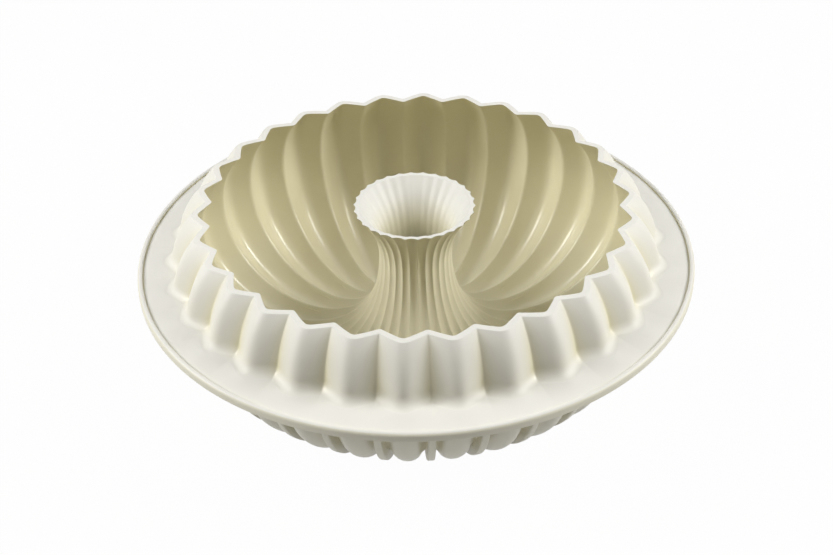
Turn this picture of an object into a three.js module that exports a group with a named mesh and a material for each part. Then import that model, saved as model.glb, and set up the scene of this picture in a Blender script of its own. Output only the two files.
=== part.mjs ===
// A fluted ring-cake mould in ivory silicone: a pleated bowl with an open chimney through its middle,
// a flat collar round its waist, and thin ribs below the collar that it stands on.
// Millimetres, +Z up. The origin is on the table, under the middle of the mould.

import * as THREE from "three";

// Flutes: the same count runs round the rim, the bowl and the chimney, and a ridge lies on +X.
// They are straight pleats at the rim and round at the floor
const FLUTES = 30;
const BOWL_COLUMNS_PER_FLUTE = 4;
const CHIMNEY_COLUMNS_PER_FLUTE = 2;
const RIM_FLUTE_DEPTH = 5.4;
const FLOOR_FLUTE_DEPTH = 4.2;
const CHIMNEY_FLUTE_DEPTH = 1.1;
const COLLAR_ROUNDNESS = 0.35;

// Bowl: its ridges follow a round section, cut off level by the rim, and its wall thickens to the rim
const RING_RADIUS = 61.3;
const SECTION_RADIUS = 46;
const RIM_ANGLE = THREE.MathUtils.degToRad(43.9);
const RIM_WALL = 3;
const WALL = 2.2;
const WALL_END_ANGLE = THREE.MathUtils.degToRad(-52);

// Collar, the bead round its edge and the soft corner where the pleats stand on it.
// Its top rises to the pleats, and its underside is a flat shelf, clear of the lobes
const COLLAR_WIDTH = 15.8;
const COLLAR_BELOW_RIM = 27;
const COLLAR_THICKNESS = 3;
const COLLAR_RISE = 2.2;
const SHELF_CLEARANCE = 1;
const LIP_WIDTH = 2.4;
const LIP_RISE = 1.2;
const FOOT_FILLET = 3;

// Chimney: a neck that spreads into the floor below and into a funnel above, which ends just below the rim
const NECK_RADIUS = 17.3;
const NECK_BELOW_RIM = 27;
const FUNNEL_RADIUS = 28.4;
const FUNNEL_BELOW_RIM = 0.6;
const FUNNEL_STRAIGHT = 14;
const CHIMNEY_WALL = 2.4;
const FOOT_TENSION = 0.62;
const FLOOR_SHARE = 0.3;
const FLUTE_FADE_SHARE = 0.68;

// Ribs: fins in the creases between the lobes, about level with them and proud of the floor, with a flat foot
const RIB_THICKNESS = 3.4;
const RIB_TOP_REACH = 5;
const RIB_PROUD = 0.8;
const FOOT_FLAT = 0.3;
const RIB_TAIL = 8;

// Gap between neighbouring pieces
const SEAM = 0.3;

// Ivory silicone: pale and matt outside, warmer and smoother where the cake lies
const OUTSIDE_FINISH = { color: 0xece9dd, roughness: 0.55, metalness: 0 };
const INSIDE_FINISH = { color: 0xdcd6c0, roughness: 0.42, metalness: 0 };
const CHIMNEY_FINISH = { color: 0xe6e2d2, roughness: 0.45, metalness: 0 };

// Steps along the section of each piece
const RIM_STEPS = 3;
const FILLET_STEPS = 3;
const WALL_STEPS = 5;
const ARC_FLOOR_STEPS = 3;
const FOOT_FLOOR_STEPS = 2;
const STEM_STEPS = 6;
const FUNNEL_STEPS = 4;
const RIB_STEPS = 8;
const LIP_ROUND_STEPS = 3;

// Heights and radii that follow from the sizes above
const DOWN = -Math.PI / 2;
const SECTION_Z = SECTION_RADIUS + FLOOR_FLUTE_DEPTH + WALL + RIB_PROUD - FOOT_FLAT;
const FLOOR_Z = SECTION_Z - SECTION_RADIUS;
const RIM_Z = SECTION_Z + SECTION_RADIUS * Math.sin(RIM_ANGLE);
const COLLAR_TOP = RIM_Z - COLLAR_BELOW_RIM;
const COLLAR_BOTTOM = COLLAR_TOP - COLLAR_THICKNESS;
const COLLAR_ROOT = COLLAR_TOP + COLLAR_RISE;
const NECK_Z = RIM_Z - NECK_BELOW_RIM;
const FUNNEL_Z = RIM_Z - FUNNEL_BELOW_RIM;
const RIDGE_RADIUS = RING_RADIUS + SECTION_RADIUS * Math.cos(angleAtHeight(COLLAR_TOP));
const LOBE_RADIUS = RIDGE_RADIUS + RIM_FLUTE_DEPTH + WALL;
const COLLAR_RADIUS = LOBE_RADIUS + COLLAR_WIDTH;
const FILLET = Math.min(FOOT_FILLET, COLLAR_WIDTH - LIP_WIDTH - SEAM);
const UNDER_COLLAR_ANGLE = angleAtHeight(COLLAR_BOTTOM - SEAM);
const BOWL_COLUMNS = FLUTES * BOWL_COLUMNS_PER_FLUTE;
const CHIMNEY_COLUMNS = FLUTES * CHIMNEY_COLUMNS_PER_FLUTE;
const FLUTE_TURN = (2 * Math.PI) / FLUTES;

/** Angle on the bowl's round section at a height, from its middle. */
function angleAtHeight(z) {
  return Math.asin((z - SECTION_Z) / SECTION_RADIUS);
}

/** Depth of a flute, 0 on its ridge and 1 in its groove: from straight pleats to round lobes. */
function fluteWave(turns, roundness) {
  const along = turns - Math.floor(turns);
  const pleat = 1 - Math.abs(1 - 2 * along);
  const lobe = Math.sin(Math.PI * along);
  return THREE.MathUtils.lerp(pleat, lobe, roundness);
}

// Stations: places on the cavity's section, each with the ridge's place, the way out of the cavity,
// the flutes' depth and form, and the wall behind it

/** Station on the bowl: flutes and wall stand out level above the collar, and turn to point down below it. */
function bowlStation(angle) {
  const below = Math.max(0, (UNDER_COLLAR_ANGLE - angle) / (UNDER_COLLAR_ANGLE - DOWN));
  const above = Math.max(0, (angle - UNDER_COLLAR_ANGLE) / (RIM_ANGLE - UNDER_COLLAR_ANGLE));
  const roundness = below > 0
    ? THREE.MathUtils.lerp(COLLAR_ROUNDNESS, 1, below)
    : THREE.MathUtils.lerp(COLLAR_ROUNDNESS, 0, above);
  return {
    r: RING_RADIUS + SECTION_RADIUS * Math.cos(angle),
    z: SECTION_Z + SECTION_RADIUS * Math.sin(angle),
    outR: Math.cos(below * DOWN),
    outZ: Math.sin(below * DOWN),
    depth: THREE.MathUtils.lerp(RIM_FLUTE_DEPTH, FLOOR_FLUTE_DEPTH, below * below),
    roundness,
    wall: THREE.MathUtils.lerp(WALL, RIM_WALL, above),
  };
}

const footRun = RING_RADIUS - NECK_RADIUS;
const footRise = NECK_Z - FLOOR_Z;
const footCurve = new THREE.CubicBezierCurve(
  new THREE.Vector2(RING_RADIUS, FLOOR_Z),
  new THREE.Vector2(RING_RADIUS - FOOT_TENSION * footRun, FLOOR_Z),
  new THREE.Vector2(NECK_RADIUS, NECK_Z - FOOT_TENSION * footRise),
  new THREE.Vector2(NECK_RADIUS, NECK_Z),
);
const seamShare = SEAM / footCurve.getLength();

/** Station on the sweep from the floor, at 0, up to the chimney's neck, at 1. */
function footStation(share) {
  const ridge = footCurve.getPointAt(share);
  const way = footCurve.getTangentAt(share);
  const fade = THREE.MathUtils.smoothstep(share, 0, FLUTE_FADE_SHARE);
  return {
    r: ridge.x,
    z: ridge.y,
    outR: -way.y,
    outZ: way.x,
    depth: THREE.MathUtils.lerp(FLOOR_FLUTE_DEPTH, CHIMNEY_FLUTE_DEPTH, fade),
    roundness: 1,
    wall: THREE.MathUtils.lerp(WALL, CHIMNEY_WALL, share),
  };
}

const funnelCurve = new THREE.QuadraticBezierCurve(
  new THREE.Vector2(NECK_RADIUS, NECK_Z),
  new THREE.Vector2(NECK_RADIUS, NECK_Z + FUNNEL_STRAIGHT),
  new THREE.Vector2(FUNNEL_RADIUS, FUNNEL_Z),
);

/** Station on the funnel, from the neck, at 0, to the chimney's rim, at 1. */
function funnelStation(share) {
  const ridge = funnelCurve.getPoint(share);
  return {
    r: ridge.x,
    z: ridge.y,
    outR: -1,
    outZ: 0,
    depth: CHIMNEY_FLUTE_DEPTH,
    roundness: 1,
    wall: CHIMNEY_WALL,
  };
}

/** Plain round station, with no flutes. */
function roundStation(r, z) {
  return { r, z, outR: 1, outZ: 0, depth: 0, roundness: 1, wall: 0 };
}

/** Stations at even steps between two values. */
function stationsBetween(from, to, steps, stationAt) {
  return Array.from({ length: steps + 1 }, (_, i) => stationAt(THREE.MathUtils.lerp(from, to, i / steps)));
}

/** Ring lathed from a closed loop of stations, with the flutes pressed into it. */
function flutedRing(stations, columns = BOWL_COLUMNS) {
  const loop = [...stations, stations[0]];
  const profile = loop.map((station) => new THREE.Vector2(station.r, station.z));
  const ring = new THREE.LatheGeometry(profile, columns, Math.PI / 2);
  ring.rotateX(Math.PI / 2);
  const position = ring.attributes.position;
  for (let i = 0; i < position.count; i += 1) {
    const station = loop[i % loop.length];
    const turn = Math.floor(i / loop.length) / columns;
    const push = station.depth * fluteWave(turn * FLUTES, station.roundness);
    const r = station.r + station.outR * push;
    const azimuth = turn * 2 * Math.PI;
    position.setXYZ(i, r * Math.cos(azimuth), r * Math.sin(azimuth), station.z + station.outZ * push);
  }
  return ring;
}

/** The same station on the outside of the wall. */
function behindWall(station) {
  return {
    ...station,
    r: station.r + station.outR * station.wall,
    z: station.z + station.outZ * station.wall,
  };
}

/** Fluted wall: down the cavity side, and back along the outside. */
function flutedWall(stations, columns) {
  return flutedRing([...stations, ...stations.map(behindWall).reverse()], columns);
}

// Pieces

function pleatedRim() {
  const foot = COLLAR_ROOT + SEAM;
  const shoulder = angleAtHeight(foot + FILLET);
  const inside = stationsBetween(RIM_ANGLE, angleAtHeight(foot), RIM_STEPS, bowlStation);
  const fillet = stationsBetween(Math.PI / 2, 0, FILLET_STEPS, (turn) => {
    const station = behindWall(bowlStation(angleAtHeight(foot + FILLET * (1 - Math.sin(turn)))));
    return { ...station, r: station.r + FILLET * (1 - Math.cos(turn)) };
  });
  const outside = stationsBetween(shoulder, RIM_ANGLE, RIM_STEPS, bowlStation).map(behindWall);
  return flutedRing([...inside, ...fillet, ...outside.slice(1)]);
}

function collar() {
  const edge = COLLAR_RADIUS - LIP_WIDTH - SEAM;
  const shelf = LOBE_RADIUS + SHELF_CLEARANCE;
  return flutedRing([
    bowlStation(angleAtHeight(COLLAR_ROOT)),
    bowlStation(angleAtHeight(COLLAR_BOTTOM)),
    roundStation(shelf, COLLAR_BOTTOM),
    roundStation(edge, COLLAR_BOTTOM),
    roundStation(edge, COLLAR_TOP),
    roundStation(LOBE_RADIUS + FILLET, COLLAR_ROOT),
  ]);
}

function collarLip() {
  const inside = COLLAR_RADIUS - LIP_WIDTH;
  const round = LIP_WIDTH / 2;
  const section = new THREE.Shape();
  section.moveTo(inside, COLLAR_BOTTOM);
  section.lineTo(COLLAR_RADIUS, COLLAR_BOTTOM);
  section.absarc(inside + round, COLLAR_TOP + LIP_RISE - round, round, 0, Math.PI);
  section.closePath();
  const points = section.getPoints(LIP_ROUND_STEPS).slice(0, -1);
  return flutedRing(points.map((point) => roundStation(point.x, point.y)));
}

function bowlWall() {
  return flutedWall(stationsBetween(UNDER_COLLAR_ANGLE, WALL_END_ANGLE, WALL_STEPS, bowlStation));
}

function bowlFloor() {
  const start = WALL_END_ANGLE - SEAM / SECTION_RADIUS;
  const fromWall = stationsBetween(start, DOWN, ARC_FLOOR_STEPS, bowlStation);
  const toChimney = stationsBetween(0, FLOOR_SHARE, FOOT_FLOOR_STEPS, footStation);
  return flutedWall([...fromWall, ...toChimney.slice(1)]);
}

function chimney() {
  const stem = stationsBetween(FLOOR_SHARE + seamShare, 1, STEM_STEPS, footStation);
  const funnel = stationsBetween(0, 1, FUNNEL_STEPS, funnelStation);
  return flutedWall([...stem, ...funnel.slice(1)], CHIMNEY_COLUMNS);
}

/** Rib in the plane of a ridge: its inner edge clears the lobes beside it, its foot stands proud of them. */
function supportRib() {
  const stations = stationsBetween(UNDER_COLLAR_ANGLE, DOWN, RIB_STEPS, bowlStation);
  const ribPoint = (station, out) => new THREE.Vector2(
    station.r + station.outR * out,
    Math.max(0, station.z + station.outZ * out),
  );
  const outer = stations.map((station, i) => {
    const reach = THREE.MathUtils.lerp(RIB_TOP_REACH, FLOOR_FLUTE_DEPTH + RIB_PROUD, i / RIB_STEPS);
    return ribPoint(station, station.wall + reach);
  });
  const inner = stations.map((station) => {
    const halfTurn = RIB_THICKNESS / 2 / station.r / FLUTE_TURN;
    return ribPoint(station, station.wall + station.depth * fluteWave(halfTurn, 1) + SEAM);
  });
  const tail = RING_RADIUS - RIB_TAIL;
  const end = [new THREE.Vector2(tail, 0), new THREE.Vector2(tail, inner.at(-1).y)];
  const fin = new THREE.ExtrudeGeometry(new THREE.Shape([...outer, ...end, ...inner.reverse()]), {
    depth: RIB_THICKNESS,
    bevelEnabled: false,
  });
  fin.translate(0, 0, -RIB_THICKNESS / 2);
  fin.rotateX(Math.PI / 2);
  return fin;
}

function piece(name, geometry, finish) {
  const mesh = new THREE.Mesh(geometry, new THREE.MeshStandardMaterial(finish));
  mesh.name = name;
  return mesh;
}

const mould = new THREE.Group();
mould.add(
  piece("pleated_rim", pleatedRim(), OUTSIDE_FINISH),
  piece("collar", collar(), OUTSIDE_FINISH),
  piece("collar_lip", collarLip(), OUTSIDE_FINISH),
  piece("bowl_wall", bowlWall(), INSIDE_FINISH),
  piece("bowl_floor", bowlFloor(), INSIDE_FINISH),
  piece("chimney", chimney(), CHIMNEY_FINISH),
);
const ribForm = supportRib();
for (let i = 0; i < FLUTES; i += 1) {
  const rib = piece(`support_rib_${String(i + 1).padStart(2, "0")}`, ribForm, OUTSIDE_FINISH);
  rib.rotation.z = i * FLUTE_TURN;
  mould.add(rib);
}

export default mould;
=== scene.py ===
"""The looks of a fluted ring-cake mould in ivory silicone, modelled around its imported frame.

Metres, +Z up. The mould is one moulding, so its pieces are bands of one skin: they share their border rows
exactly, and the surface runs on from piece to piece. A ridge of the flutes lies on +X.
"""

import math
from collections import namedtuple

import bpy
import numpy as np
from mathutils import Matrix, Vector


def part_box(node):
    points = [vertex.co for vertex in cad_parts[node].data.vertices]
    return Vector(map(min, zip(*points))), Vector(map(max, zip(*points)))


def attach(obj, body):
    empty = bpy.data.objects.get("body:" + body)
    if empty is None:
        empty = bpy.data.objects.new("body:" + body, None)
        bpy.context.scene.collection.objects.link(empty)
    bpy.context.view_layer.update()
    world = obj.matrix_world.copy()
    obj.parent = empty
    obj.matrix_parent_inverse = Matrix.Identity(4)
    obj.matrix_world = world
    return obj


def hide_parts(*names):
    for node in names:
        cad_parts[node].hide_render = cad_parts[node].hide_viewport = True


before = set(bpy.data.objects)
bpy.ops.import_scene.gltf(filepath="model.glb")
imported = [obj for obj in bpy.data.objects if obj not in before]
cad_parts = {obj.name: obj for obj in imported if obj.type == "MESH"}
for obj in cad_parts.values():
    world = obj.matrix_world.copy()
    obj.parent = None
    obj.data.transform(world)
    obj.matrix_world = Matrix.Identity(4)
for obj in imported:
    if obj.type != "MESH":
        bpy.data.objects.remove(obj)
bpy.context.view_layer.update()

# Sizes that the frame gives
RIM_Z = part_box("pleated_rim")[1].z
COLLAR_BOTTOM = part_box("collar")[0].z
COLLAR_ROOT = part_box("collar")[1].z
COLLAR_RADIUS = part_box("collar_lip")[1].x
BEAD_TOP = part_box("collar_lip")[1].z
FUNNEL_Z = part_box("chimney")[1].z
RIB_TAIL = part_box("support_rib_01")[0].x
RIB_THICKNESS = 2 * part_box("support_rib_01")[1].y

# Flutes: their depths in the cavity, from the rim to the floor, and on the chimney, the share of their depth
# that also shows in the bore, and how far the grooves have turned round where they reach the floor
FLUTES = 30
RIM_FLUTE_DEPTH = 0.0054
BOWL_FLUTE_DEPTH = 0.0062
FLOOR_FLUTE_DEPTH = 0.0056
STEM_FLUTE_DEPTH = 0.0005
FUNNEL_FLUTE_DEPTH = 0.0009
BORE_FLUTE_SHARE = 0.4
FLOOR_ROUNDNESS = 0.5

# Bowl: its ridges follow a round section, cut off level by the rim, and its wall thickens to the rim
RING_RADIUS = 0.0613
SECTION_RADIUS = 0.046
RIM_ANGLE = math.radians(43.9)
SECTION_Z = RIM_Z - SECTION_RADIUS * math.sin(RIM_ANGLE)
FLOOR_Z = SECTION_Z - SECTION_RADIUS
RIM_WALL = 0.003
WALL = 0.0022
THINNEST_WALL = 0.0008
WALL_END_ANGLE = math.radians(-52)
DOWN = -math.pi / 2

# Lobes outside, as deep as the pleats below the collar: their depth under the floor, the valley beside a rib,
# in flutes, and the power that makes them full
LOBE_FLOOR_DEPTH = 0.0042
VALLEY = 0.17
LOBE_POWER = 0.55

# Chimney: a neck that spreads into the floor below and into a funnel above
NECK_RADIUS = 0.0173
NECK_BELOW_RIM = 0.027
NECK_Z = RIM_Z - NECK_BELOW_RIM
FUNNEL_RADIUS = 0.0284
FUNNEL_STRAIGHT = 0.014
CHIMNEY_WALL = 0.0024
FOOT_TENSION = 0.62
FOOT_SAMPLES = 2001
FLOOR_SHARE = 0.3
FLUTE_FADE_SHARE = 0.68

# Collar, whose top rises from the bead to the pleats
BEAD_RISE = 0.0012
COLLAR_TOP = BEAD_TOP - BEAD_RISE
BEAD_WIDTH = 0.0024
BEAD_INSIDE = COLLAR_RADIUS - BEAD_WIDTH
BEAD_EDGE = 0.0004
BEAD_OUTER_EDGE = 0.0017
FOOT_FILLET = 0.0045
UNDER_FILLET = 0.0015

# Ribs, which start inside the collar, by an angle on the bowl's section
RIB_START_TURN = 0.02
RIB_TOP_REACH = 0.005
RIB_PROUD = 0.0008
RIB_EDGE = 0.0007
RIB_ROOT = 0.0006
RIB_TOE = 0.0034

# Soft corners: half widths in flutes round the section, and the radius along the lips' edges
RIDGE_ROUND = 0.05
RIM_GROOVE_ROUND = 0.08
BOWL_GROOVE_ROUND = 0.16
CREASE_ROUND = 0.015
BORE_CREASE_ROUND = 0.3
CREST_ROUND = 0.16
LIP_EDGE = 0.0003

# Mesh: columns gather at the ridges and grooves, and rows come close together where pieces part
COLUMNS_PER_FLUTE = 24
COLUMN_GATHER = 0.6
BORDER_SHARE = 0.002
SHARP_ANGLE = math.radians(60)
EDGE_ROWS = 6
RIM_ROWS = 40
PLEAT_ROWS = 30
FOOT_FILLET_ROWS = 10
UNDER_FILLET_ROWS = 6
COLLAR_WALL_ROWS = 6
COLLAR_UNDER_ROWS = 8
COLLAR_OVER_ROWS = 14
BEAD_OUTER_ROWS = 7
BEAD_INNER_ROWS = 8
WALL_ROWS = 44
LOBE_ROWS = 40
FLOOR_ROWS = 30
SWEEP_ROWS = 20
STEM_ROWS = 32
FUNNEL_ROWS = 22
RIB_ROWS = 40
TOE_ROWS = 10

# Painted shade and gloss of the skin, from 0, pale and matt, to 1, warm and smooth. The warm tone is painted
# shade: it stands in for bounce light and light through the silicone in the cavity, the bore, the creases and
# under the collar, and makes a painted shadow line beside the bead. Less of it paints the floor's foot and the
# stem paler, where light falls from above. Above 1 it widens a narrow line
PALE = 0.0
FULL_SHADE = 1.0
# Less painted shade at the floor's foot and on the stem, which are painted paler where light falls from above
FOOT_PAINTED_SHADE = 0.6
STEM_PAINTED_SHADE = 0.75
# Painted shade down the bore: none above the first share of its depth, growing to its full amount at the second
BORE_PAINTED_SHADE = 0.8
BORE_PALE_DEPTH = 0.25
BORE_WARM_DEPTH = 0.8
# Painted shadow line on the collar beside the bead, and the rows it covers
BEAD_PAINTED_SHADOW = 1.2
BEAD_LINE_ROWS = 2
# Painted shade in the pleats' creases, and less of it on their flanks
CREASE_PAINTED_SHADE = 1.2
CREASE_POWER = 3
FLANK_PAINTED_SHADE = 0.3
# Painted shade under the collar on the lobes, and deeper in the valleys beside the ribs
UNDER_COLLAR_SHADE = 0.55
VALLEY_SHADE = 0.9

# Silicone: pale tone, painted shade's warm tone, their roughness, its gloss, the mottling and the moulded grain
PALE_IVORY = (0.795, 0.788, 0.742, 1)
SHADED_IVORY = (0.741, 0.699, 0.506, 1)
PALE_ROUGHNESS = 0.6
WARM_ROUGHNESS = 0.285
SILICONE_IOR = 1.45
SPECULAR_LEVEL = 1.0
MOTTLE_SCALE = 55.0
MOTTLE_DETAIL = 3.0
MOTTLE_DARK = 0.97
MOTTLE_LIGHT = 1.03
GRAIN_SCALE = 1400.0
GRAIN_DETAIL = 2.0
GRAIN_STRENGTH = 0.05
GRAIN_DEPTH = 0.0002

# Floor and light: the floor as light sees it, how far the eye sees it lifted to white, and the dim light from
# all round
WHITE = (1, 1, 1, 1)
FLOOR_WHITE = (0.58, 0.58, 0.58, 1)
FLOOR_LIFT = 0.98
FLOOR_REACH = 6.0
AMBIENT = 0.02
WHITE_LIGHT = (1, 1, 1)
WARM_LIGHT = (1, 0.94, 0.78)
SOFTBOX_SIZE = 0.3

# Softboxes, a left and a right one for each row: the right one's place as right, back and up in the camera's
# own heading, the power and the colour
SOFTBOXES = [
    ("low", (1.158, 0.000, 0.590), 5.5, WHITE_LIGHT),
    ("middle", (0.966, 0.000, 0.870), 3.6, WHITE_LIGHT),
    ("high", (0.650, 0.000, 1.126), 2.3, WHITE_LIGHT),
    ("front", (0.947, -0.308, 0.836), 2.2, WARM_LIGHT),
]

# Camera: fitted to the photograph's rim, whose middle it faces before it pans, tilts and rolls
PHOTO_WIDTH = 833
FOCAL_PIXELS = 1582.3
SENSOR_WIDTH = 36.0
CLIP_START = 0.01
VIEW_DISTANCE = 0.7327
VIEW_AZIMUTH = math.radians(273.45)
VIEW_ELEVATION = math.radians(33.56)
VIEW_PAN = math.radians(-0.01)
VIEW_TILT = math.radians(-2.67)
VIEW_ROLL = math.radians(1.48)
VIEW_TURN = VIEW_AZIMUTH + math.pi / 2


def mix(start, end, share):
    """Straight line from start, at 0, to end, at 1."""
    return start + (end - start) * share


# Columns round the axis

steps = np.arange(FLUTES * COLUMNS_PER_FLUTE) / COLUMNS_PER_FLUTE
PHASE = (steps - COLUMN_GATHER * np.sin(4 * np.pi * steps) / (4 * np.pi))[None, :]
AZIMUTH = PHASE * 2 * np.pi / FLUTES


def ring_points(r, z):
    """Points at radius r and height z, which have a row for each ring, on every column."""
    level = np.zeros_like(AZIMUTH)
    return np.stack([(r + level) * np.cos(AZIMUTH), (r + level) * np.sin(AZIMUTH), z + level], axis=-1)


# Stations on the cavity's section, each value as a column with one row for each ring: the ridge's place, the
# way out of the cavity, the flutes' depth, their roundness and how widely their grooves are rounded, the wall,
# and the depth, roundness and fullness of the lobes behind it

Station = namedtuple(
    "Station", "r z out_r out_z depth roundness groove_round wall back_depth back_roundness swell",
)


def angle_at_height(z):
    """Angle on the bowl's round section at a height: the arc sine of the height's share of the radius."""
    return np.arcsin((z - SECTION_Z) / SECTION_RADIUS)


ROOT_ANGLE = float(angle_at_height(COLLAR_ROOT))
UNDER_COLLAR_ANGLE = float(angle_at_height(COLLAR_BOTTOM))
ANGLE_ROUNDING = 1e-6


def bowl(angle):
    """Station on the bowl's circle.

    The way out is level above the collar, and turns down below it, by share of the angle to the floor. Lobes
    start at the collar's underside, however its angle is rounded.
    """
    below = np.maximum(0, (UNDER_COLLAR_ANGLE - angle) / (UNDER_COLLAR_ANGLE - DOWN))
    above = np.maximum(0, (angle - UNDER_COLLAR_ANGLE) / (RIM_ANGLE - UNDER_COLLAR_ANGLE))
    lobed = np.where(angle > UNDER_COLLAR_ANGLE + ANGLE_ROUNDING, 0.0, 1.0)
    return Station(
        r=RING_RADIUS + SECTION_RADIUS * np.cos(angle),
        z=SECTION_Z + SECTION_RADIUS * np.sin(angle),
        out_r=np.cos(below * DOWN),
        out_z=np.sin(below * DOWN),
        depth=mix(mix(BOWL_FLUTE_DEPTH, FLOOR_FLUTE_DEPTH, below ** 2), RIM_FLUTE_DEPTH, above),
        roundness=FLOOR_ROUNDNESS * below ** 3,
        groove_round=mix(BOWL_GROOVE_ROUND, RIM_GROOVE_ROUND, above ** 2),
        wall=mix(WALL, RIM_WALL, above),
        back_depth=mix(RIM_FLUTE_DEPTH, LOBE_FLOOR_DEPTH, below ** 2),
        back_roundness=lobed,
        swell=lobed,
    )


def foot(share):
    """Station on a cubic curve from the floor, at 0, to the chimney's neck, at 1, by share of its length.

    The flutes fade from those of the floor to those of the stem by three times the square less twice the cube.
    """
    run, rise = RING_RADIUS - NECK_RADIUS, NECK_Z - FLOOR_Z
    corners = np.array([
        [RING_RADIUS, FLOOR_Z],
        [RING_RADIUS - FOOT_TENSION * run, FLOOR_Z],
        [NECK_RADIUS, NECK_Z - FOOT_TENSION * rise],
        [NECK_RADIUS, NECK_Z],
    ])
    t = np.linspace(0, 1, FOOT_SAMPLES)[:, None]
    weights = np.hstack([(1 - t) ** 3, 3 * t * (1 - t) ** 2, 3 * t * t * (1 - t), t ** 3])
    line = weights @ corners
    length = np.concatenate([[0], np.cumsum(np.linalg.norm(np.diff(line, axis=0), axis=1))])
    way = np.gradient(line, axis=0)
    way /= np.linalg.norm(way, axis=1, keepdims=True)
    r, z, way_r, way_z = (
        np.interp(share * length[-1], length, values) for values in (*line.T, *way.T)
    )
    fade = np.clip(share / FLUTE_FADE_SHARE, 0, 1)
    fade = fade * fade * (3 - 2 * fade)
    return Station(
        r=r,
        z=z,
        out_r=-way_z,
        out_z=way_r,
        depth=mix(FLOOR_FLUTE_DEPTH, STEM_FLUTE_DEPTH, fade),
        roundness=mix(FLOOR_ROUNDNESS, 1, fade),
        groove_round=mix(BOWL_GROOVE_ROUND, RIM_GROOVE_ROUND, fade),
        wall=mix(WALL, CHIMNEY_WALL, share),
        back_depth=mix(LOBE_FLOOR_DEPTH, STEM_FLUTE_DEPTH * BORE_FLUTE_SHARE, fade),
        back_roundness=np.ones_like(share),
        swell=1 - fade,
    )


def funnel(share):
    """Station on a quadratic curve from the neck, at 0, to the chimney's rim, at 1."""
    left, middle, right = (1 - share) ** 2, 2 * share * (1 - share), share ** 2
    depth = mix(STEM_FLUTE_DEPTH, FUNNEL_FLUTE_DEPTH, share)
    return Station(
        r=(left + middle) * NECK_RADIUS + right * FUNNEL_RADIUS,
        z=left * NECK_Z + middle * (NECK_Z + FUNNEL_STRAIGHT) + right * FUNNEL_Z,
        out_r=np.full_like(share, -1.0),
        out_z=np.zeros_like(share),
        depth=depth,
        roundness=np.ones_like(share),
        groove_round=np.full_like(share, RIM_GROOVE_ROUND),
        wall=np.full_like(share, CHIMNEY_WALL),
        back_depth=depth * BORE_FLUTE_SHARE,
        back_roundness=np.ones_like(share),
        swell=np.zeros_like(share),
    )


# The skin

def soft_abs(x, half_width):
    """Distance from 0, with a parabola in place of the corner within the half width."""
    return np.where(np.abs(x) < half_width, (x * x / half_width + half_width) / 2, np.abs(x))


def from_ridge(ridge_round, groove_round):
    """Distance from the nearest ridge, in flutes, with soft corners: 0 on the ridge and 0.5 in the groove."""
    near = np.abs(PHASE - np.round(PHASE))
    soft = soft_abs(near, ridge_round) + 0.5 - soft_abs(0.5 - near, groove_round) - near
    return (soft - ridge_round / 2) / (1 - ridge_round - groove_round)


def groove_push(station):
    """Way from the ridge to the cavity's skin.

    A pleat is as deep as twice the distance from the ridge, a round groove is as deep as the sine of the
    distance times pi, and the station's roundness mixes the two.
    """
    near = from_ridge(RIDGE_ROUND, station.groove_round)
    return station.depth * mix(2 * near, np.sin(np.pi * near), station.roundness)


def inside(station):
    """Skin on the cavity's side: the ridge, moved out by the flutes."""
    push = groove_push(station)
    return ring_points(station.r + station.out_r * push, station.z + station.out_z * push)


def outside(station, flare=0.0):
    """Skin behind the wall: the ridge, moved out by the wall, the lobes and a flare.

    A pleat is as before. A lobe is one minus the square of the distance from its crest, to a power: half an
    ellipse where the station's swell is 1, with a flat valley on each side, and a parabola where it is 0.
    """
    in_bore = station.back_roundness * (1 - station.swell)
    near = from_ridge(
        mix(CREASE_ROUND, BORE_CREASE_ROUND, in_bore),
        mix(CREST_ROUND, CREASE_ROUND, station.back_roundness),
    )
    aside = np.clip((0.5 - near) / (0.5 - VALLEY * station.swell), 0, 1)
    lobe = (1 - aside * aside) ** mix(1, LOBE_POWER, station.swell)
    push = station.wall + station.back_depth * mix(2 * near, lobe, station.back_roundness)
    push = np.maximum(push, groove_push(station) + THINNEST_WALL) + flare
    return ring_points(station.r + station.out_r * push, station.z + station.out_z * push)


def rows(start, stop, count):
    """Even values from start to stop as a column, with one more close to each end."""
    even = np.linspace(start, stop, count)
    close = (stop - start) * BORDER_SHARE
    return np.concatenate([even[:1], even[:1] + close, even[1:-1], even[-1:] - close, even[-1:]])[:, None]


def rounded(before, corner, after):
    """Quadratic curve from one ring to another, bent round the corner ring between them."""
    t = np.linspace(0, 1, EDGE_ROWS)[:, None, None]
    return (1 - t) ** 2 * before + 2 * t * (1 - t) * corner + t * t * after


def across(first, last, count):
    """Straight rows from one ring to another."""
    return mix(first, last, rows(0, 1, count)[:, :, None])


def lip(inner_edge, outer_edge, before, after):
    """Flat lip between two softened edges, from the ring before the outer edge to that after the inner."""
    width = np.linalg.norm(outer_edge - inner_edge, axis=-1, keepdims=True)
    share = LIP_EDGE / width
    outer = rounded(before, outer_edge, mix(outer_edge, inner_edge, share))
    inner = rounded(mix(inner_edge, outer_edge, share), inner_edge, after)
    return outer, inner


def fillet_rings(level, radius, sign, count):
    """Outside rings on a quarter circle from level on a flat face, sign 1 up or -1 down, into the wall."""
    turn = np.linspace(math.pi / 2, 0, count)[:, None]
    heights = level + sign * radius * (1 - np.sin(turn))
    return outside(bowl(angle_at_height(heights)), radius * (1 - np.cos(turn)))


FOOT_RINGS = fillet_rings(COLLAR_ROOT, FOOT_FILLET, 1, FOOT_FILLET_ROWS)
UNDER_RINGS = fillet_rings(COLLAR_BOTTOM, UNDER_FILLET, -1, UNDER_FILLET_ROWS)


# Pieces

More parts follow.
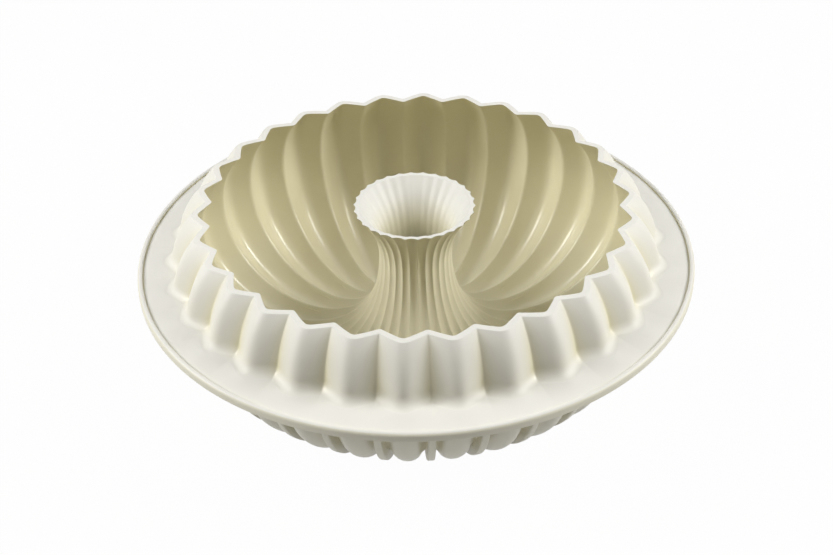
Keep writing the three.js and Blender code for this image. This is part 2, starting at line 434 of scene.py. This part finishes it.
def add_piece(name, points, faces, shade_and_gloss, material):
    """Mesh object at the origin that rides on the mould's body and stands for the CAD node of its name."""
    mesh = bpy.data.meshes.new(name)
    mesh.from_pydata(points.reshape(-1, 3), [], faces)
    mesh.shade_smooth()
    mesh.set_sharp_from_angle(angle=SHARP_ANGLE)
    mesh.attributes.new("shade_and_gloss", "FLOAT", "POINT").data.foreach_set("value", shade_and_gloss.astype(np.float32))
    mesh.materials.append(material)
    piece = bpy.data.objects.new(name, mesh)
    bpy.context.scene.collection.objects.link(piece)
    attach(piece, "root")
    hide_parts(name)


def add_band(name, strips, material):
    """Closed band: strips of rings in order round the section, each with its painted shade, joined end to
    start.
    """
    points = np.concatenate([strip for strip, _ in strips])
    shade_and_gloss = np.concatenate([np.broadcast_to(painted_shade, strip.shape[:2]) for strip, painted_shade in strips])
    rings, columns = points.shape[:2]
    index = np.arange(rings * columns).reshape(rings, columns)
    beside = np.roll(index, -1, axis=1)
    faces = np.stack([index, beside, np.roll(beside, -1, axis=0), np.roll(index, -1, axis=0)], axis=-1)
    add_piece(name, points, faces.reshape(-1, 4), shade_and_gloss.reshape(-1), material)


def pleated_rim(material):
    """Pleats above the collar: up the outside from the foot's fillet, over the flat lip and down the cavity.

    The outside's painted shade is strongest in the creases, by a power of the nearness to them, weaker on the
    flanks and gone at the foot and the lip; the cavity side is in full painted shade.
    """
    edge = RIM_ANGLE - LIP_EDGE / SECTION_RADIUS
    down = inside(bowl(rows(edge, ROOT_ANGLE, RIM_ROWS)))
    up = outside(bowl(rows(float(angle_at_height(COLLAR_ROOT + FOOT_FILLET)), edge, PLEAT_ROWS)))
    top = bowl(np.array([[RIM_ANGLE]]))
    outer, inner = lip(inside(top), outside(top), up[-1:], down[:1])
    # Painted shade on the outside: strongest in the creases, fading down the foot's fillet and up to the lip
    near_crease = (1 - 2 * from_ridge(CREASE_ROUND, CREST_ROUND)) ** CREASE_POWER
    crease = mix(FLANK_PAINTED_SHADE, CREASE_PAINTED_SHADE, near_crease)
    to_foot = np.linspace(0, 1, len(FOOT_RINGS))[:, None] * crease
    to_rim = np.sqrt(np.linspace(1, 0, len(up)))[:, None] * crease
    add_band("pleated_rim", [
        (FOOT_RINGS, to_foot), (up[1:], to_rim[1:]), (outer[1:], PALE),
        (inner[:-1], PALE), (down[:1], PALE), (down[1:], FULL_SHADE),
    ], material)


def collar(material):
    """Flange: down the band of cavity behind it, out along its flat underside and back over its sloping top."""
    down = inside(bowl(rows(ROOT_ANGLE, UNDER_COLLAR_ANGLE, COLLAR_WALL_ROWS)))
    bead_under, bead_root = (ring_points(BEAD_INSIDE, np.array([[z]])) for z in (COLLAR_BOTTOM, COLLAR_TOP))
    under = across(UNDER_RINGS[:1], bead_under, COLLAR_UNDER_ROWS)
    over = across(bead_root, FOOT_RINGS[:1], COLLAR_OVER_ROWS)
    # Painted shade: full in the cavity band and under the collar, and a painted shadow line beside the bead
    painted_bead_shadow = np.where(np.arange(len(over)) < BEAD_LINE_ROWS, BEAD_PAINTED_SHADOW, PALE)[:, None]
    add_band("collar", [(down, FULL_SHADE), (under, UNDER_COLLAR_SHADE), (over, painted_bead_shadow)], material)


def arc(r, z, radius, start, stop, count):
    """Radii and heights on a circle's arc between two angles."""
    turn = np.linspace(start, stop, count)
    return np.stack([r + radius * np.cos(turn), z + radius * np.sin(turn)], axis=-1)


def collar_lip(material):
    """Bead: a square section with quarter circles for edges, the widest above on the outside."""
    foot_edge = (COLLAR_RADIUS - BEAD_EDGE, COLLAR_BOTTOM + BEAD_EDGE, BEAD_EDGE)
    outer_edge = (COLLAR_RADIUS - BEAD_OUTER_EDGE, BEAD_TOP - BEAD_OUTER_EDGE, BEAD_OUTER_EDGE)
    inner_edge = (BEAD_INSIDE + BEAD_EDGE, BEAD_TOP - BEAD_EDGE, BEAD_EDGE)
    side = np.concatenate([
        [[BEAD_INSIDE, COLLAR_BOTTOM]],
        arc(*foot_edge, -math.pi / 2, 0, EDGE_ROWS),
        arc(*outer_edge, 0, math.pi / 4, BEAD_OUTER_ROWS),
    ])
    top = np.concatenate([
        arc(*outer_edge, math.pi / 4, math.pi / 2, BEAD_OUTER_ROWS)[1:],
        arc(*inner_edge, math.pi / 2, math.pi, BEAD_INNER_ROWS),
    ])
    root = np.array([[BEAD_INSIDE, COLLAR_TOP]])
    # Painted shade on the bead's outer side, a painted shadow line at its root, and a pale top
    add_band("collar_lip", [
        (ring_points(line[:, :1], line[:, 1:]), painted_shade)
        for line, painted_shade in ((side, UNDER_COLLAR_SHADE), (top, PALE), (root, BEAD_PAINTED_SHADOW))
    ], material)


def under_collar_shade():
    """Painted shade below the collar: that of the lobes on their crests, and more in the valleys beside the
    ribs.
    """
    near = from_ridge(CREASE_ROUND, CREASE_ROUND)
    return mix(VALLEY_SHADE, UNDER_COLLAR_SHADE, np.clip((near - VALLEY / 2) / VALLEY, 0, 1))


def bowl_wall(material):
    """Bowl below the collar: down the cavity's grooves and up the lobes behind them to the collar's fillet."""
    below_fillet = float(angle_at_height(COLLAR_BOTTOM - UNDER_FILLET))
    down = inside(bowl(rows(UNDER_COLLAR_ANGLE, WALL_END_ANGLE, WALL_ROWS)))
    up = outside(bowl(rows(WALL_END_ANGLE, below_fillet, LOBE_ROWS)))
    fillet = UNDER_RINGS[::-1][1:]
    # Painted shade: full in the cavity, and that of the lobes on their faces and fillet under the collar
    add_band("bowl_wall", [(down, FULL_SHADE), (up, under_collar_shade()), (fillet, under_collar_shade())], material)


def bowl_floor(material):
    """Ring floor: the end of the bowl's circle and the start of the chimney's foot, with less painted shade
    towards the foot.
    """
    stations = bowl(rows(WALL_END_ANGLE, DOWN, FLOOR_ROWS)), foot(rows(0, FLOOR_SHARE, SWEEP_ROWS))
    over, under = (
        np.concatenate([skin(stations[0]), skin(stations[1])[1:]]) for skin in (inside, outside)
    )
    # Painted shade over the floor, fading towards the foot, which is painted paler where light falls from above
    to_foot = np.linspace(FULL_SHADE, FOOT_PAINTED_SHADE, len(over))[:, None]
    add_band("bowl_floor", [(over, to_foot), (under[::-1], under_collar_shade())], material)


def chimney(material):
    """Stem and funnel: up the cavity's side, over the flat lip and down the bore, with more painted shade
    deeper in the bore.
    """
    stem = foot(rows(FLOOR_SHARE, 1, STEM_ROWS))
    flare = funnel(rows(0, 1 - LIP_EDGE / (FUNNEL_Z - NECK_Z), FUNNEL_ROWS))
    cavity = np.concatenate([inside(stem), inside(flare)[1:]])
    bore = np.concatenate([outside(stem), outside(flare)[1:]])[::-1]
    top = funnel(np.array([[1.0]]))
    outer, inner = lip(outside(top), inside(top), cavity[-1:], bore[:1])
    # Painted shade down the bore, from none to full between two shares of its depth
    depth = (FUNNEL_Z - bore[:, :1, 2]) / (FUNNEL_Z - NECK_Z)
    down_bore = np.clip((depth - BORE_PALE_DEPTH) / (BORE_WARM_DEPTH - BORE_PALE_DEPTH), 0, 1)
    height, start = cavity[:-1, :1, 2], cavity[0, 0, 2]
    up_stem = np.clip((height - start) / (NECK_Z - start), 0, 1)
    # Painted shade rising up the stem from the foot's paler tone, none on the lip, and growing down the bore
    add_band("chimney", [
        (cavity[:-1], mix(FOOT_PAINTED_SHADE, STEM_PAINTED_SHADE, up_stem)), (cavity[-1:], PALE),
        (outer[1:], PALE), (inner[:-1], PALE), (bore, BORE_PAINTED_SHADE * down_bore),
    ], material)


def rib_path():
    """Outer edge of a rib in its own plane: its radii and heights, the ways out, and the depths to the root.

    The edge follows the bowl's outside at a reach that changes evenly, runs level along the foot, and ends in a
    quarter circle.
    """
    angle = np.linspace(UNDER_COLLAR_ANGLE + RIB_START_TURN, DOWN, RIB_ROWS)
    station = bowl(angle)
    share = np.clip((UNDER_COLLAR_ANGLE - angle) / (UNDER_COLLAR_ANGLE - DOWN), 0, 1)
    reach = station.wall + mix(RIB_TOP_REACH, LOBE_FLOOR_DEPTH + RIB_PROUD, share)
    edge_r = station.r + station.out_r * reach
    edge_z = station.z + station.out_z * reach
    root = reach - station.wall + RIB_ROOT
    toe = np.linspace(0, math.pi / 2, TOE_ROWS)
    toe_r = RIB_TAIL + RIB_TOE * (1 - np.sin(toe))
    toe_z = edge_z[-1] + RIB_TOE * (1 - np.cos(toe))
    return (
        np.concatenate([edge_r, toe_r]),
        np.concatenate([edge_z, toe_z]),
        np.concatenate([station.out_r, np.zeros_like(toe)]),
        np.concatenate([station.out_z, -np.ones_like(toe)]),
        np.concatenate([root, edge_z[-1] + root[-1] - toe_z]),
    )


def rib_shape():
    """Rib on +X, a rounded section carried along its path: points, faces and the painted shade of its points.

    The section has quarter circles at its outer corners and straight sides down to the root.
    """
    path_r, path_z, out_r, out_z, root = (values[:, None] for values in rib_path())
    turn = np.linspace(0, math.pi / 2, EDGE_ROWS)
    half = RIB_THICKNESS / 2 - RIB_EDGE * (1 - np.cos(turn))
    behind = RIB_EDGE * (1 - np.sin(turn))
    side = np.concatenate([half, -half[::-1], -half[:1], half[:1]])
    depth = np.minimum(np.concatenate([behind, behind[::-1]]), root)
    depth = np.concatenate([depth, root, root], axis=1)
    r = path_r - out_r * depth
    z = np.maximum(0, path_z - out_z * depth)
    points = np.stack([r, np.broadcast_to(side, r.shape), z], axis=-1)
    index = np.arange(r.size).reshape(r.shape)
    beside = np.roll(index, -1, axis=1)
    quads = np.stack([index[:-1], index[1:], beside[1:], beside[:-1]], axis=-1).reshape(-1, 4)
    faces = [*quads.tolist(), index[0].tolist(), index[-1, ::-1].tolist()]
    # Painted shade on the rib: deeper on its sides, lighter on its outer edge
    shade_and_gloss = np.where(depth > RIB_EDGE, VALLEY_SHADE, UNDER_COLLAR_SHADE)
    return points, faces, shade_and_gloss.reshape(-1)


def support_rib(number, shape, material):
    """Rib in the plane of a ridge: the shape on +X, turned round the axis by whole flutes."""
    points, faces, shade_and_gloss = shape
    turn = (number - 1) * 2 * math.pi / FLUTES
    r, side, z = np.moveaxis(points, -1, 0)
    turned = np.stack([
        r * math.cos(turn) - side * math.sin(turn),
        r * math.sin(turn) + side * math.cos(turn),
        z,
    ], axis=-1)
    add_piece(f"support_rib_{number:02d}", turned, faces, shade_and_gloss, material)


# Materials

def add_node(tree, kind, **sockets):
    """Shader node with values set on its inputs by name."""
    node = tree.nodes.new(kind)
    for name, value in sockets.items():
        node.inputs[name.replace("_", " ")].default_value = value
    return node


def silicone():
    """Satin ivory silicone with faint mottling, a fine moulded grain and painted shade in a warm, smoother
    tone.
    """
    material = bpy.data.materials.new("ivory_silicone")
    material.use_nodes = True
    tree = material.node_tree
    link = tree.links.new
    shader = tree.nodes["Principled BSDF"]
    shader.inputs["IOR"].default_value = SILICONE_IOR
    shader.inputs["Specular IOR Level"].default_value = SPECULAR_LEVEL
    place = tree.nodes.new("ShaderNodeTexCoord").outputs["Object"]
    shade_and_gloss = tree.nodes.new("ShaderNodeAttribute")
    shade_and_gloss.attribute_name = "shade_and_gloss"
    # Painted shade: the point attribute mixes the pale tone towards the warm tone that stands in for shade
    colour = tree.nodes.new("ShaderNodeMix")
    colour.data_type = "RGBA"
    colour.inputs["A"].default_value = PALE_IVORY
    colour.inputs["B"].default_value = SHADED_IVORY
    link(shade_and_gloss.outputs["Fac"], colour.inputs["Factor"])
    mottle = add_node(tree, "ShaderNodeTexNoise", Scale=MOTTLE_SCALE, Detail=MOTTLE_DETAIL)
    link(place, mottle.inputs["Vector"])
    shade = add_node(tree, "ShaderNodeMapRange", To_Min=MOTTLE_DARK, To_Max=MOTTLE_LIGHT)
    link(mottle.outputs["Fac"], shade.inputs["Value"])
    tint = tree.nodes.new("ShaderNodeVectorMath")
    tint.operation = "SCALE"
    link(colour.outputs["Result"], tint.inputs[0])
    link(shade.outputs["Result"], tint.inputs["Scale"])
    link(tint.outputs["Vector"], shader.inputs["Base Color"])
    gloss = add_node(tree, "ShaderNodeMapRange", To_Min=PALE_ROUGHNESS, To_Max=WARM_ROUGHNESS)
    link(shade_and_gloss.outputs["Fac"], gloss.inputs["Value"])
    link(gloss.outputs["Result"], shader.inputs["Roughness"])
    grain = add_node(tree, "ShaderNodeTexNoise", Scale=GRAIN_SCALE, Detail=GRAIN_DETAIL)
    link(place, grain.inputs["Vector"])
    bump = add_node(tree, "ShaderNodeBump", Strength=GRAIN_STRENGTH, Distance=GRAIN_DEPTH)
    link(grain.outputs["Fac"], bump.inputs["Height"])
    link(bump.outputs["Normal"], shader.inputs["Normal"])
    return material


def seen_by_eye(tree):
    """1 for camera, glossy and transmission rays, and 0 for light that only bounces: the most of the three."""
    path = tree.nodes.new("ShaderNodeLightPath")
    total = path.outputs["Is Camera Ray"]
    for ray in ("Is Glossy Ray", "Is Transmission Ray"):
        most = tree.nodes.new("ShaderNodeMath")
        most.operation = "MAXIMUM"
        tree.links.new(total, most.inputs[0])
        tree.links.new(path.outputs[ray], most.inputs[1])
        total = most.outputs["Value"]
    return total


def floor():
    """Plain pale floor: it bounces light as matt white, and the eye sees it lifted to white, with a shadow."""
    material = bpy.data.materials.new("pale_floor")
    material.use_nodes = True
    tree = material.node_tree
    tree.nodes.remove(tree.nodes["Principled BSDF"])
    matt = add_node(tree, "ShaderNodeBsdfDiffuse", Color=FLOOR_WHITE)
    white = add_node(tree, "ShaderNodeEmission", Strength=1.0)
    lift = tree.nodes.new("ShaderNodeMath")
    lift.operation = "MULTIPLY"
    lift.inputs[1].default_value = FLOOR_LIFT
    tree.links.new(seen_by_eye(tree), lift.inputs[0])
    blend = tree.nodes.new("ShaderNodeMixShader")
    tree.links.new(lift.outputs["Value"], blend.inputs["Fac"])
    tree.links.new(matt.outputs["BSDF"], blend.inputs[1])
    tree.links.new(white.outputs["Emission"], blend.inputs[2])
    tree.links.new(blend.outputs["Shader"], tree.nodes["Material Output"].inputs["Surface"])
    mesh = bpy.data.meshes.new("floor")
    corners = [(x * FLOOR_REACH, y * FLOOR_REACH, 0) for x, y in ((-1, -1), (1, -1), (1, 1), (-1, 1))]
    mesh.from_pydata(corners, [], [(0, 1, 2, 3)])
    mesh.materials.append(material)
    plane = bpy.data.objects.new("floor", mesh)
    bpy.context.scene.collection.objects.link(plane)


# Light and camera

def surroundings():
    """Even dim light from all round, which the eye sees as white."""
    world = bpy.data.worlds.new("studio")
    bpy.context.scene.world = world
    world.use_nodes = True
    tree = world.node_tree
    dim = tree.nodes["Background"]
    dim.inputs["Strength"].default_value = AMBIENT
    dim.inputs["Color"].default_value = WHITE
    white = add_node(tree, "ShaderNodeBackground", Color=WHITE, Strength=1.0)
    blend = tree.nodes.new("ShaderNodeMixShader")
    tree.links.new(seen_by_eye(tree), blend.inputs["Fac"])
    tree.links.new(dim.outputs["Background"], blend.inputs[1])
    tree.links.new(white.outputs["Background"], blend.inputs[2])
    tree.links.new(blend.outputs["Shader"], tree.nodes["World Output"].inputs["Surface"])


def softbox(name, place, power, colour):
    """Square area light that faces the mould from a place in the camera's own heading."""
    light = bpy.data.lights.new(name, "AREA")
    light.size = SOFTBOX_SIZE
    light.energy = power
    light.color = colour
    lamp = bpy.data.objects.new(name, light)
    bpy.context.scene.collection.objects.link(lamp)
    lamp.location = Matrix.Rotation(VIEW_TURN, 3, "Z") @ Vector(place)
    target = Vector((0, 0, RIM_Z / 2))
    lamp.rotation_euler = (target - lamp.location).to_track_quat("-Z", "Y").to_euler()


def camera():
    """Camera on the fitted line of sight to the rim's middle, then panned, tilted and rolled about its axes."""
    back = Vector((
        math.cos(VIEW_ELEVATION) * math.cos(VIEW_AZIMUTH),
        math.cos(VIEW_ELEVATION) * math.sin(VIEW_AZIMUTH),
        math.sin(VIEW_ELEVATION),
    ))
    ahead = -back
    right = ahead.cross(Vector((0, 0, 1))).normalized()
    up = right.cross(ahead)
    turn = Matrix.Rotation(VIEW_PAN, 3, up)
    ahead, right = turn @ ahead, turn @ right
    turn = Matrix.Rotation(VIEW_TILT, 3, right)
    ahead, up = turn @ ahead, turn @ up
    turn = Matrix.Rotation(VIEW_ROLL, 3, ahead)
    right, up = turn @ right, turn @ up
    data = bpy.data.cameras.new("camera")
    data.sensor_width = SENSOR_WIDTH
    data.lens = FOCAL_PIXELS / PHOTO_WIDTH * SENSOR_WIDTH
    data.clip_start = CLIP_START
    eye = bpy.data.objects.new("camera", data)
    bpy.context.scene.collection.objects.link(eye)
    place = Vector((0, 0, RIM_Z)) + back * VIEW_DISTANCE
    eye.matrix_world = Matrix((
        (right.x, up.x, -ahead.x, place.x),
        (right.y, up.y, -ahead.y, place.y),
        (right.z, up.z, -ahead.z, place.z),
        (0, 0, 0, 1),
    ))
    bpy.context.scene.camera = eye


bpy.context.scene.view_settings.view_transform = "Standard"
camera()
floor()
surroundings()
for pair, (right, back, up), power, colour in SOFTBOXES:
    for hand, sign in (("left", -1), ("right", 1)):
        softbox(f"{hand}_{pair}", (sign * right, back, up), power, colour)

ivory = silicone()
for make_piece in (pleated_rim, collar, collar_lip, bowl_wall, bowl_floor, chimney):
    make_piece(ivory)
rib = rib_shape()
for rib_number in range(1, FLUTES + 1):
    support_rib(rib_number, rib, ivory)
